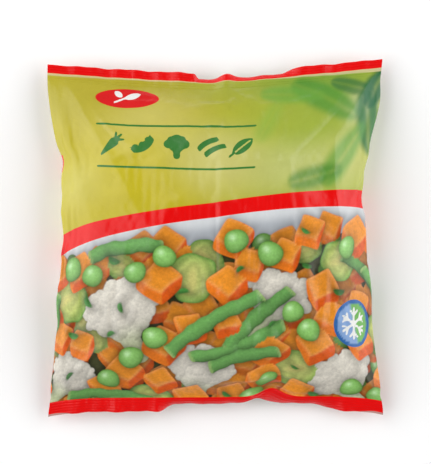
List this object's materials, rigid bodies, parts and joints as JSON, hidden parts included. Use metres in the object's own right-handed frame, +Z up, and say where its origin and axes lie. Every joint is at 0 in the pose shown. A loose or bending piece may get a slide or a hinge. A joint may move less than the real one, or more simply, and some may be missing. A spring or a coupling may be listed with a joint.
{
  "type": "frozen vegetable bag",
  "caption": "Full pillow bag of frozen mixed vegetables lying on its back, with a flat heat seal across each end and a folded seam along its underside.",
  "frame": {"origin": "on the surface that the bag lies on, under the middle of the bag's outline", "axes": "+Z up out of the printed front, +Y towards the top end of the print, +X across the bag to the print's right"},
  "size_m": [0.2, 0.2138, 0.0429],
  "materials": {
    "printed_film": "gloss"
  },
  "bodies": {
    "root": {"bag": "printed_film"}
  },
  "joints": []
}
